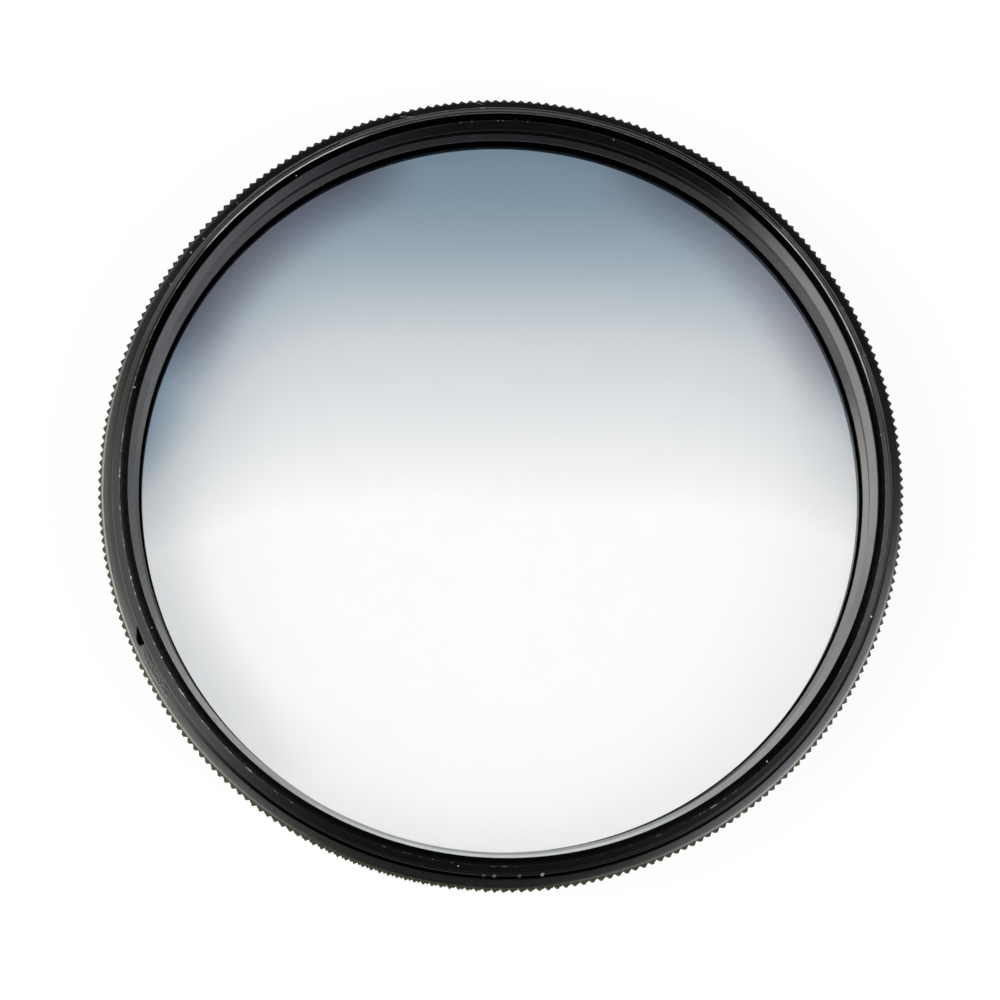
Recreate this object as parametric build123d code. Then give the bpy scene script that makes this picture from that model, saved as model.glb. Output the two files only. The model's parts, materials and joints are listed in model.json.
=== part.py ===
"""Screw in graduated lens filter in a rotating mount.

Millimetres, +Z up. The filter lies on its front rim at Z = 0, with the rear
male thread pointing up, and its optical axis is the Z axis.
"""
import math
import os

from build123d import *

# Screw threads, cut as plain cylinders
thread_d = 77.0                  # major diameter of the rear male thread and the front female thread
thread_pitch = 0.75
male_thread_height = 0.6134      # thread height of the male form, as a share of the pitch
female_thread_height = 0.5413    # the same for the female form

# Knurled grips
knurl_teeth = 288
knurl_depth = 0.38
flange_step = 1.5                # from the thread's crest out to the tips of the mount's knurl
rotor_knurl_inset = 0.2          # the rotating ring's knurl is this much smaller in radius
knurl_bevel = 0.4                # height of the bevel that runs out over the teeth
bevel_land = 0.02                # the bevel starts this far inside the roots
blank_over = 0.1                 # blank left over the tips of the knurl before it is cut

# Mount ring
barrel_len = 2.28                # flange face to the end of the thread
barrel_wall = 1.64               # end face of the barrel, measured in from the thread's crest
mouth_cone = 0.59                # the mouth narrows by this much in radius, behind the end face
mouth_cone_len = 1.13
mouth_land = 0.1                 # narrowest part of the mouth, along the axis
undercut_depth = 0.68            # undercut behind the mouth, across the radius
lead_depth = 0.92                # lead chamfer of the thread, across the radius
lead_len = 0.8                   # lead chamfer of the thread, along the axis
relief_len = 0.3                 # undercut at the foot of the thread
flange_thk = 2.0
shoulder_thk = 0.45              # flange face down to the shoulder over the sleeve

# Running joint of the two rings
sleeve_step = 0.14               # the sleeve's bore is this much smaller in radius than the end face's edge
sleeve_wall = 0.83
running_clearance = 0.1          # sleeve to counterbore, across the radius
ring_gap = 0.15                  # sleeve to shoulder, and flange to rotating ring, along the axis

# Snap wire of square section and its two grooves
wire_width = 0.6
wire_bite = 0.2                  # how far the wire stands into the sleeve
wire_play = 0.05                 # wire to the groove of the mount ring
wire_clearance = 0.1             # wire to the groove of the sleeve
wire_opening = 14.0              # degrees left open between the wire's ends

# Glass disc
glass_thk = 2.4
glass_overlap = 0.68             # how far the glass reaches under the lip
glass_clearance = 0.1
shoulder_rise = 2.35             # front face of the glass up to the shoulder under the flange

# Lip of the sleeve that the glass is seated against
lip_reach = 0.55                 # the lip stands in from the sleeve's bore
lip_land = 0.21                  # its edge, along the axis
lip_rise = 0.33                  # its sloping back, along the axis

# Retaining ring
retainer_thk = 0.9
retainer_inset = 0.12            # the retaining ring's bore is this much smaller in radius than the lip's
retainer_step = 0.4              # its thread is this much smaller in radius than the front thread
retainer_clearance = 0.08
retainer_grip = 0.2              # its thread's bore runs past the face of the glass by this much
slot_width = 1.4
slot_depth = 0.45
slot_wall = 0.5                  # left standing between the slots and the bore

# Front rim of the rotating ring
front_thread_len = 1.45
mouth_bevel = 0.3
retainer_sink = 0.1              # from the end of the front thread down to the retaining ring
rim_inset = 0.6                  # the rim is this much smaller in radius than the knurl's tips
rim_height = 1.6
rim_bevel = 0.3

# Radii, from the thread inwards and outwards
thread_r = thread_d / 2
relief_r = thread_r - male_thread_height * thread_pitch
front_thread_r = thread_r - female_thread_height * thread_pitch
mount_tip_r = thread_r + flange_step
rotor_tip_r = mount_tip_r - rotor_knurl_inset
rim_r = rotor_tip_r - rim_inset
end_face_r = thread_r - barrel_wall
mouth_r = end_face_r - mouth_cone
undercut_r = mouth_r + undercut_depth
sleeve_bore_r = end_face_r - sleeve_step
sleeve_r = sleeve_bore_r + sleeve_wall
counterbore_r = sleeve_r + running_clearance
lip_r = sleeve_bore_r - lip_reach
glass_r = lip_r + glass_overlap
seat_r = glass_r + glass_clearance
retainer_bore_r = lip_r - retainer_inset
retainer_hole_r = front_thread_r - retainer_step
retainer_r = retainer_hole_r - retainer_clearance
wire_half = wire_width / 2
wire_ring_r = sleeve_r - wire_bite + wire_half

# Heights, from the front rim up
front_thread_z = mouth_bevel + front_thread_len
retainer_z = front_thread_z + retainer_sink
glass_z = retainer_z + retainer_thk
retainer_hole_z = glass_z + retainer_grip
seat_z = glass_z + glass_thk
lip_edge_z = seat_z + lip_land
lip_back_z = lip_edge_z + lip_rise
rotor_shoulder_z = glass_z + shoulder_rise
flange_bottom_z = rotor_shoulder_z + ring_gap
flange_z = flange_bottom_z + flange_thk
mount_shoulder_z = flange_z - shoulder_thk
sleeve_z = mount_shoulder_z - ring_gap
lead_z = flange_z + barrel_len - lead_len
end_z = flange_z + barrel_len
mouth_z = end_z - mouth_cone_len
undercut_z = mouth_z - mouth_land
wire_z = (flange_bottom_z + mount_shoulder_z) / 2


def turned(*profile):
    """A solid of revolution about Z from the (radius, height) corners of its section."""
    corners = [(radius, 0, height) for radius, height in profile]
    return revolve(make_face(Polyline(*corners, close=True)), Axis.Z)


def groove(inner_r, outer_r, half_width):
    """A square turned groove around the snap wire."""
    return turned(
        (inner_r, wire_z - half_width),
        (outer_r, wire_z - half_width),
        (outer_r, wire_z + half_width),
        (inner_r, wire_z + half_width),
    )


def toothed_outline(tip_r, phase):
    """A flat outline of straight V teeth; phase shifts the teeth by a share of their pitch."""
    corners = []
    root_r = tip_r - knurl_depth
    for tooth in range(knurl_teeth):
        tip_angle = 2 * math.pi * (tooth + phase) / knurl_teeth
        root_angle = tip_angle + math.pi / knurl_teeth
        corners.append((tip_r * math.cos(tip_angle), tip_r * math.sin(tip_angle)))
        corners.append((root_r * math.cos(root_angle), root_r * math.sin(root_angle)))
    return make_face(Polyline(*corners, close=True))


def knurled_bar(tip_r, phase, bevel_z, face_z, far_z):
    """A bar with a bevelled knurl: full teeth from bevel_z on, none past face_z, and a plain core up to far_z.

    The bevel is cut flat across each tooth, by a many-sided blank with a corner over each root.
    """
    pitch_angle = 360 / knurl_teeth
    core_r = tip_r - knurl_depth - bevel_land
    over_r = tip_r + blank_over
    slope = (face_z - bevel_z) / knurl_depth
    tooth_end_z = face_z - slope * (over_r - core_r)
    blank = [
        Pos(0, 0, height) * RegularPolygon(radius, knurl_teeth, rotation=(phase + 0.5) * pitch_angle)
        for radius, height in (
            (over_r, end_z - far_z),
            (over_r, tooth_end_z),
            (core_r, face_z),
            (core_r, far_z),
        )
    ]
    return loft(blank, ruled=True) & extrude(toothed_outline(tip_r, phase), end_z)


def make_mount_ring():
    ring = turned(
        (counterbore_r, flange_bottom_z),
        (mount_tip_r + blank_over, flange_bottom_z),
        (mount_tip_r + blank_over, flange_z),
        (relief_r, flange_z),
        (relief_r, flange_z + relief_len),
        (thread_r, flange_z + relief_len),
        (thread_r, lead_z),
        (thread_r - lead_depth, end_z),
        (end_face_r, end_z),
        (mouth_r, mouth_z),
        (mouth_r, undercut_z),
        (undercut_r, undercut_z),
        (undercut_r, mount_shoulder_z),
        (counterbore_r, mount_shoulder_z),
    )
    knurl = knurled_bar(mount_tip_r, 0, flange_z - knurl_bevel, flange_z, end_z)
    wire_groove = groove(sleeve_r, wire_ring_r + wire_half + wire_play, wire_half + wire_play)
    return (ring & knurl) - wire_groove


def make_rotating_ring():
    ring = turned(
        (front_thread_r + mouth_bevel, 0),
        (rim_r - rim_bevel, 0),
        (rim_r, rim_bevel),
        (rim_r, rim_height),
        (rotor_tip_r + blank_over, rim_height),
        (rotor_tip_r + blank_over, rotor_shoulder_z),
        (sleeve_r, rotor_shoulder_z),
        (sleeve_r, sleeve_z),
        (sleeve_bore_r, sleeve_z),
        (sleeve_bore_r, lip_back_z),
        (lip_r, lip_edge_z),
        (lip_r, seat_z),
        (seat_r, seat_z),
        (seat_r, retainer_hole_z),
        (retainer_hole_r, retainer_hole_z),
        (retainer_hole_r, front_thread_z),
        (front_thread_r, front_thread_z),
        (front_thread_r, mouth_bevel),
    )
    knurl = knurled_bar(rotor_tip_r, 0.5, rim_height + knurl_bevel, rim_height, 0)
    wire_groove = groove(wire_ring_r - wire_half - wire_clearance, counterbore_r, wire_half + wire_clearance)
    return (ring & knurl) - wire_groove


def make_graduated_glass():
    return turned(
        (0, glass_z),
        (glass_r, glass_z),
        (glass_r, seat_z),
        (0, seat_z),
    )


def make_retaining_ring():
    ring = turned(
        (retainer_bore_r, retainer_z),
        (retainer_r, retainer_z),
        (retainer_r, glass_z),
        (retainer_bore_r, glass_z),
    )
    bar = Box(slot_width, 2 * thread_r, 2 * slot_depth)
    core = Cylinder(retainer_bore_r + slot_wall, 2 * slot_depth)
    return ring - Pos(0, 0, retainer_z) * (bar - core)


def make_snap_wire():
    section = Pos(wire_ring_r, 0, wire_z) * (Rot(90, 0, 0) * Rectangle(wire_width, wire_width))
    return Rot(0, 0, wire_opening / 2) * revolve(section, Axis.Z, 360 - wire_opening)


pieces = {
    "mount_ring": make_mount_ring(),
    "rotating_ring": make_rotating_ring(),
    "graduated_glass": make_graduated_glass(),
    "retaining_ring": make_retaining_ring(),
    "snap_wire": make_snap_wire(),
}

os.makedirs("parts", exist_ok=True)
for name, solid in pieces.items():
    export_step(solid, f"parts/{name}.step")
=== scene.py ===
"""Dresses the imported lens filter: turned and knurled rings, graduated glass, snap wire and the studio around them.

Mesh code works in millimetres. Blender's objects are in metres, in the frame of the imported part:
the filter lies on its front rim at Z = 0, its male thread points up and the optical axis is Z.
"""

import json
import math
from types import SimpleNamespace

import bmesh
import bpy
import numpy as np
from mathutils import Matrix, Vector


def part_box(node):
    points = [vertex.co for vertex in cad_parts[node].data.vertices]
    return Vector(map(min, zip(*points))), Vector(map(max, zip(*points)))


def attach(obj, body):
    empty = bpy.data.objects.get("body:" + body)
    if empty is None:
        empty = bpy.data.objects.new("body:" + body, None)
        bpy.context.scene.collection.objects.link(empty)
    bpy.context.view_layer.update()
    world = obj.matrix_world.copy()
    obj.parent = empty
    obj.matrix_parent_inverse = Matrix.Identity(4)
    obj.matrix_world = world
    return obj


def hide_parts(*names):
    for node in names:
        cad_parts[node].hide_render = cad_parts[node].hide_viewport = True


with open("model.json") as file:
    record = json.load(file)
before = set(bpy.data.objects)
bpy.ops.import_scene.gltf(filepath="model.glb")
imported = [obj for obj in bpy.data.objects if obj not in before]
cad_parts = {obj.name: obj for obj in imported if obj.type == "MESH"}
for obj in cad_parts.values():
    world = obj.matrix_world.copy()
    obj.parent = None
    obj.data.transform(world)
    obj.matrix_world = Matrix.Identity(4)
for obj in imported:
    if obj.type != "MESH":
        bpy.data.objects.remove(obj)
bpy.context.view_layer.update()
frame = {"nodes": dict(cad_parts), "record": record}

bl_info = {
    "name": "Graduated Lens Filter",
    "version": (1, 0, 0),
    "blender": (4, 5, 0),
    "location": "3D View > Sidebar > Lens Filter",
    "description": "Builds the rings, the graduated glass and the studio of a screw in lens filter",
    "category": "Add Mesh",
}

MM = 0.001
PHOTO_PIXELS = 1000
THREAD_ENDS = ((43.1, 116.0), (28.6, 41.5), (20.2, 27.5), (8.0, 19.6))
record_mounts = {mount["name"]: mount for mount in frame["record"]["mounts"]}


def length(name, description, millimetres):
    """A length property, given in millimetres and kept in metres."""
    return bpy.props.FloatProperty(
        name=name, description=description, default=millimetres * MM, unit="LENGTH", subtype="DISTANCE", precision=5
    )


def colour(name, description, red, green, blue):
    """A linear colour property."""
    return bpy.props.FloatVectorProperty(
        name=name, description=description, default=(red, green, blue), subtype="COLOR", size=3, min=0.0, max=1.0
    )


def share(name, description, default):
    """A property from 0 to 1."""
    return bpy.props.FloatProperty(
        name=name, description=description, default=default, min=0.0, max=1.0, subtype="FACTOR"
    )


def bearing(name, description, degrees):
    """An angle property, given in degrees."""
    return bpy.props.FloatProperty(
        name=name, description=description, default=math.radians(degrees), unit="ROTATION", subtype="ANGLE"
    )


class LensFilterSizes(bpy.types.PropertyGroup):
    """Sizes of the rings and the glass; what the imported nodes' boxes give is read from them instead."""

    thread_radius: length("Thread radius", "Crest of the male thread", record_mounts["male_thread"]["dims"]["r_mm"])
    thread_pitch: length("Thread pitch", "Rise of both filter threads in one turn", 0.75)
    lead_depth: length("Lead depth", "Lead chamfer of the male thread, across the radius", 0.92)
    lead_length: length("Lead length", "Lead chamfer of the male thread, along the axis", 0.8)
    relief_length: length("Relief length", "Undercut at the foot of the male thread", 0.3)
    flange_thickness: length("Flange thickness", "Knurled flange of the mount ring", 2.0)
    flange_fall: length("Flange fall", "How far the outer part of the flange face falls away to the knurl", 0.06)
    shoulder_thickness: length("Shoulder thickness", "Flange face down to the shoulder over the sleeve", 0.45)
    end_face_radius: length("End face radius", "Inner edge of the barrel's end face", 36.86)
    mouth_radius: length("Mouth radius", "Narrowest part of the barrel's mouth", 36.27)
    mouth_cone_length: length("Mouth cone length", "End face down to the narrowest part", 1.13)
    mouth_land: length("Mouth land", "Narrowest part of the mouth, along the axis", 0.1)
    undercut_radius: length("Undercut radius", "Undercut behind the mouth", 36.95)
    sleeve_bore: length("Sleeve bore", "Bore radius of the rotating ring's sleeve", 36.72)
    sleeve_wall: length("Sleeve wall", "Wall of the rotating ring's sleeve", 0.83)
    lip_radius: length("Lip radius", "Edge of the lip over the glass", 36.17)
    lip_land: length("Lip land", "Edge of the lip, along the axis", 0.21)
    lip_rise: length("Lip rise", "Sloping back of the lip, along the axis", 0.33)
    running_clearance: length("Running clearance", "Sleeve to counterbore, across the radius", 0.1)
    glass_clearance: length("Glass clearance", "Glass to its seat, across the radius", 0.1)
    knurl_teeth: bpy.props.IntProperty(
        name="Knurl teeth", description="Teeth around each knurled grip", default=288, min=12
    )
    knurl_depth: length("Knurl depth", "Tip to root of a tooth", 0.38)
    knurl_bevel: length("Knurl bevel", "Height of the bevel over the ends of the teeth", 0.4)
    tip_wear: length("Tip wear", "Most that a worn tooth has lost from its tip", 0.05)
    rotor_inset: length("Rotor inset", "The rotating ring's knurl is this much smaller in radius", 0.2)
    rim_inset: length("Rim inset", "The front rim is this much smaller in radius than its knurl", 0.6)
    rim_height: length("Rim height", "Front face up to the knurl of the rotating ring", 1.6)
    rim_bevel: length("Rim bevel", "Bevel around the front rim", 0.3)
    shoulder_height: length("Rotor shoulder", "Front face up to the shoulder under the flange", 5.1)
    front_thread_radius: length(
        "Front thread radius", "Crest of the female thread", record_mounts["front_thread"]["dims"]["r_mm"]
    )
    front_thread_end: length("Front thread end", "Front face to the inner end of the female thread", 1.75)
    mouth_bevel: length("Mouth bevel", "Bevel at the mouth of the female thread", 0.3)
    retainer_hole: length("Retainer hole", "Radius of the hole that the retaining ring is screwed into", 37.694)
    retainer_hole_end: length("Retainer hole end", "Front face to the inner end of that hole", 2.95)
    retainer_bore: length("Retainer bore", "Bore radius of the retaining ring", 36.05)
    slot_width: length("Slot width", "Spanner slots of the retaining ring", 1.4)
    slot_depth: length("Slot depth", "Spanner slots of the retaining ring", 0.45)
    slot_wall: length("Slot wall", "Left standing between the slots and the bore", 0.5)
    edge_break: length("Edge break", "Small chamfer on turned edges", 0.05)


class LensFilterFinish(bpy.types.PropertyGroup):
    """Colours and wear of the finishes, and colours that paint light and shade onto them."""

    anodised: colour("Anodised black", "Black dyed oxide of the rings", 0.0018, 0.0017, 0.0016)
    anodised_pale: colour("Anodised grey", "Where the oxide is thin or dusty", 0.0050, 0.0047, 0.0045)
    # Painted shade: a metallic black that takes the reflection off wherever a mask lays it.
    deep_black: colour("Deep black", "Densely dyed oxide on teeth, chamfers and the end face", 0.005, 0.0043, 0.0040)
    lip_grey: colour("Lip grey", "Paler oxide on the lip over the glass", 0.026, 0.025, 0.031)
    # Painted light: a grey laid on the lip's left side and on the right side of the retainer's bore.
    lip_haze: colour("Lip haze", "Lip over the glass, where it is hazy", 0.10, 0.10, 0.10)
    # Painted highlight on the lip's right side.
    lip_rubbed: colour("Lip rubbed", "Lip over the glass, where the oxide is rubbed thin", 0.20, 0.198, 0.185)
    mouth_dark: colour("Mouth black", "Mouth of the barrel, where the oxide is whole", 0.020, 0.017, 0.018)
    # Painted light and reflection on the mouth of the barrel, by bearing: lower left, lower right, and at the bottom.
    mouth_dull: colour("Mouth dull", "Mouth of the barrel, where the oxide is a little rubbed", 0.16, 0.16, 0.165)
    mouth_rubbed: colour("Mouth rubbed", "Mouth of the barrel, where the oxide is rubbed thin", 0.27, 0.275, 0.28)
    mouth_bare: colour("Mouth bare", "Mouth of the barrel, where it is rubbed to the metal", 0.42, 0.43, 0.435)
    mouth_bright: colour("Mouth bright", "Mouth of the barrel, where it is rubbed brightest", 0.78, 0.82, 0.84)
    # Painted highlight on the rim of the flange face, at the lower left and lower right.
    flange_rubbed: colour("Flange rubbed", "Rim of the flange face, where the oxide is rubbed thin", 0.24, 0.235, 0.22)
    knurl_grime: colour("Knurl grime", "Olive grime on the teeth of the knurl", 0.040, 0.029, 0.004)
    # Wear with painted highlight: a broken light line along the end face's outer edge.
    edge_line: colour("Edge line", "Oxide worn thin along the edges of the lead", 0.16, 0.145, 0.12)
    # Painted glint on the outer edge of the end face.
    edge_bright: colour("Edge bright", "Bare edge of the end face, where it is brightest", 0.92, 0.90, 0.82)
    bare_metal: colour("Bare metal", "Aluminium at worn edges and scratches", 0.62, 0.61, 0.58)
    dust: colour("Dust", "Dust and lint on the rings", 0.30, 0.295, 0.29)
    wear: share("Wear", "How much of the thread's edges is worn to bare metal", 0.45)
    tint_grey: colour("Grey tint", "Colour of the slow grey tint at the dark edge of the disc", 0.463, 0.502, 0.533)
    tint_blue: colour("Blue tint", "Colour of the steeper blue tint over the grey one", 0.490, 0.617, 0.724)
    grey_start: length("Grey start", "Along +Y, where the grey tint starts", -2.0)
    grey_full: length("Grey full", "Along +Y, where the grey tint has its full depth", 36.0)
    blue_start: length("Blue start", "Along +Y, where the blue tint starts", 13.0)
    blue_full: length("Blue full", "Along +Y, where the blue tint has its full depth", 35.0)
    # Painted shadow: how far the bow pulls both tints down at the sides.
    tint_bow: length("Tint bow", "How far both tints reach down at the sides of the disc", 12.0)
    # Painted shadow at the rim of the disc.
    rim_shade: colour("Rim shade", "Deepest shade at the rim of the disc, beside its dark edge", 0.49, 0.42, 0.45)
    steel: colour("Spring steel", "Drawn wire of the snap ring", 0.42, 0.42, 0.43)


class LensFilterStage(bpy.types.PropertyGroup):
    """The camera, the lamps and the floor."""

    view_distance: length("View distance", "Camera to the middle of the flange face", 247.5)
    view_tilt: bearing("View tilt", "Camera away from the optical axis", 11.33)
    view_bearing: bearing("View bearing", "Side towards which the camera leans, from +X", 254.8)
    lens: bpy.props.FloatProperty(name="Lens", description="Focal length on a sensor of 36 mm", default=90.0, min=1.0)
    floor: colour("Floor", "Plain pale floor", 0.96, 0.96, 0.96)
    floor_glow: share("Floor glow", "Share of the floor that shows plain white to the camera", 0.93)
    gloss_glow: share("Gloss glow", "Share of the floor that shows plain white in gloss", 0.6)
    glass_glow: share("Glass glow", "Share of the floor that shows plain white through glass", 0.75)
    left_bearing: bearing("Left lamp bearing", "Side of the left soft lamp, from +X", 189.0)
    right_bearing: bearing("Right lamp bearing", "Side of the right soft lamp, from +X", 335.0)
    lamp_height: bearing("Lamp height", "Both soft lamps above the floor, as an angle", 44.0)
    lamp_distance: length("Lamp distance", "Both soft lamps from the filter", 600.0)
    left_width: length("Left width", "Left soft lamp, level with the floor", 620.0)
    right_width: length("Right width", "Right soft lamp, level with the floor", 400.0)
    lamp_depth: length("Lamp depth", "Both soft lamps, across their width", 300.0)
    left_watts: bpy.props.FloatProperty(name="Left power", description="Left soft lamp", default=4.4, unit="POWER")
    right_watts: bpy.props.FloatProperty(name="Right power", description="Right soft lamp", default=2.7, unit="POWER")


def node_box(name):
    """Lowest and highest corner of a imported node, in millimetres."""
    low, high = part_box(name)
    return low / MM, high / MM


def filter_plan():
    """Radii and heights of every turned face in millimetres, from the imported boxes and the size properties."""
    sizes = bpy.context.scene.lens_filter_sizes
    plan = SimpleNamespace()
    for name in sizes.__annotations__:
        value = getattr(sizes, name)
        setattr(plan, name, value if isinstance(value, int) else value / MM)
    mount_low, mount_high = node_box("mount_ring")
    rotor_low, rotor_high = node_box("rotating_ring")
    glass_low, glass_high = node_box("graduated_glass")
    retainer_low, retainer_high = node_box("retaining_ring")
    wire_low, wire_high = node_box("snap_wire")
    plan.mount_tip = mount_high.x
    plan.rotor_tip = plan.mount_tip - plan.rotor_inset
    plan.rim_radius = plan.rotor_tip - plan.rim_inset
    plan.flange_bottom = mount_low.z
    plan.flange_top = mount_low.z + plan.flange_thickness
    plan.barrel_top = mount_high.z
    plan.lead_start = plan.barrel_top - plan.lead_length
    plan.relief_radius = plan.thread_radius - 0.6134 * plan.thread_pitch
    plan.mount_shoulder = plan.flange_top - plan.shoulder_thickness
    plan.mouth_height = plan.barrel_top - plan.mouth_cone_length
    plan.undercut_height = plan.mouth_height - plan.mouth_land
    plan.sleeve_top = rotor_high.z
    plan.sleeve_radius = plan.sleeve_bore + plan.sleeve_wall
    plan.counterbore = plan.sleeve_radius + plan.running_clearance
    plan.glass_radius = glass_high.x
    plan.glass_bottom = glass_low.z
    plan.glass_top = glass_high.z
    plan.lip_edge = plan.glass_top + plan.lip_land
    plan.lip_back = plan.lip_edge + plan.lip_rise
    plan.seat_radius = plan.glass_radius + plan.glass_clearance
    plan.retainer_radius = retainer_high.y
    plan.retainer_bottom = retainer_low.z
    plan.retainer_top = retainer_high.z
    plan.wire_bottom = wire_low.z
    plan.wire_top = wire_high.z
    plan.wire_outer = wire_high.y
    return plan


class Turning:
    """Rows of points around the axis, from the corners of a section taken in order, joined to a closed ring."""

    def __init__(self, angles):
        self.angles = np.asarray(angles, float)
        self.rows = []
        self.sharp_rows = set()
        self.flank_rows = set()

    def row(self, radius, height, sharp=True, flank=False):
        """One row; radius and height are numbers or one value for each angle."""
        around = np.ones_like(self.angles)
        if sharp:
            self.sharp_rows.add(len(self.rows))
        if flank:
            self.flank_rows.add(len(self.rows))
        self.rows.append((around * radius, around * height))

    def run(self, *corners):
        """Plain corners as (radius, height, edge break); the first and last one have no break."""
        points = [Vector(corner[:2]) for corner in corners]
        for index, corner in enumerate(corners):
            here = points[index]
            size = corner[2] if len(corner) > 2 else 0.0
            if size == 0.0 or index in (0, len(corners) - 1):
                self.row(*here)
                continue
            for other in (points[index - 1], points[index + 1]):
                step = other - here
                self.row(*(here + step.normalized() * min(size, 0.4 * step.length)))

    def mesh(self, name):
        """The closed ring as mesh data in metres."""
        radius = np.array([row[0] for row in self.rows])
        height = np.array([row[1] for row in self.rows])
        rows, columns = radius.shape
        points = np.stack((radius * np.cos(self.angles), radius * np.sin(self.angles), height), axis=-1)
        index = np.arange(rows * columns).reshape(rows, columns)
        beside = np.roll(index, -1, axis=1)
        above = np.roll(index, -1, axis=0)
        corner = np.roll(above, -1, axis=1)
        quads = np.stack((index, beside, corner, above), axis=-1).reshape(-1, 4)
        return self.joined(name, points.reshape(-1, 3) * MM, quads, columns)

    def joined(self, name, points, quads, columns):
        data = bpy.data.meshes.new(name)
        data.vertices.add(len(points))
        data.vertices.foreach_set("co", points.astype(np.float32).ravel())
        data.loops.add(quads.size)
        data.loops.foreach_set("vertex_index", quads.astype(np.int32).ravel())
        data.polygons.add(len(quads))
        data.polygons.foreach_set("loop_start", np.arange(0, quads.size, 4, dtype=np.int32))
        data.update(calc_edges=True)
        data.polygons.foreach_set("use_smooth", np.ones(len(quads), bool))
        ends = np.zeros(2 * len(data.edges), np.int32)
        data.edges.foreach_get("vertices", ends)
        row_of = ends.reshape(-1, 2) // columns
        along = row_of[:, 0] == row_of[:, 1]
        sharp = along & np.isin(row_of[:, 0], list(self.sharp_rows))
        flanks = list(self.flank_rows)
        sharp |= ~along & np.isin(row_of[:, 0], flanks) & np.isin(row_of[:, 1], flanks)
        mark = data.attributes.new("sharp_edge", "BOOLEAN", "EDGE")
        mark.data.foreach_set("value", sharp)
        data.validate()
        return data


def tooth_corners(teeth, phase, tip, depth, tip_wear, seed):
    """Bearings and radii of four corners to a tooth: both ends of its blunt tip, then both ends of the root."""
    pitch = 2 * math.pi / teeth
    corners = np.array((-0.04, 0.04, 0.45, 0.55))
    bearings = ((np.arange(teeth) + phase)[:, None] + corners) * pitch
    loss = np.random.default_rng(seed).random(teeth) ** 2 * tip_wear
    loss[:: teeth // 4] = 0.0
    radii = np.full((teeth, 4), tip - depth)
    radii[:, :2] = tip - loss[:, None]
    return bearings.ravel(), radii.ravel()


def thread_groove(angles, height, pitch, start):
    """Share of the thread's depth cut at this height, on a right handed helix: 0 on the crest, 1 in the root."""
    turn = (height - start) / pitch - angles / (2 * math.pi)
    from_crest = 2 * np.abs(turn - np.floor(turn) - 0.5)
    return np.clip((from_crest - 0.125) / 0.625, 0.0, 1.0)


def groove_left(bearings):
    """Share of the groove that is left on the lead: it runs out in wedges with blunt ends on one side."""
    degrees = np.degrees(bearings) % 360.0
    broken_off = (degrees > THREAD_ENDS[-1][0]) & (degrees < THREAD_ENDS[0][1])
    left = np.where(broken_off, 0.0, 1.0)
    for blunt, thin in THREAD_ENDS:
        inside = (degrees > blunt) & (degrees < thin)
        left = np.where(inside, 0.3 + 0.7 * (thin - degrees) / (thin - blunt), left)
    return left


def flange_mark_depth(bearings, radius):
    """Depth of the wedge shaped nick and of the galled patch behind it on the flange face, at one radius."""
    degrees = np.degrees(bearings) % 360.0
    outer = np.minimum(38.60 + 0.28 * (degrees - 202.3), 39.05)
    nick = np.clip((radius - 38.50) / 0.05, 0, 1) * np.clip((outer - radius) / 0.05, 0, 1)
    nick *= np.clip((degrees - 202.25) / 0.1, 0, 1) * np.clip((204.85 - degrees) / 0.1, 0, 1)
    galled = np.exp(-(((degrees - 209.3) / 3.0) ** 2)) * np.exp(-(((radius - 38.85) / 0.22) ** 2))
    ripple = np.sin(degrees * 9.7 + radius * 23.0) * np.sin(degrees * 5.3 - radius * 14.0 + 1.3)
    ripple = ripple + np.sin(degrees * 16.1 - radius * 31.0 + 0.7)
    return 0.28 * nick + 0.035 * galled * (0.5 + 0.25 * ripple)


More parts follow.
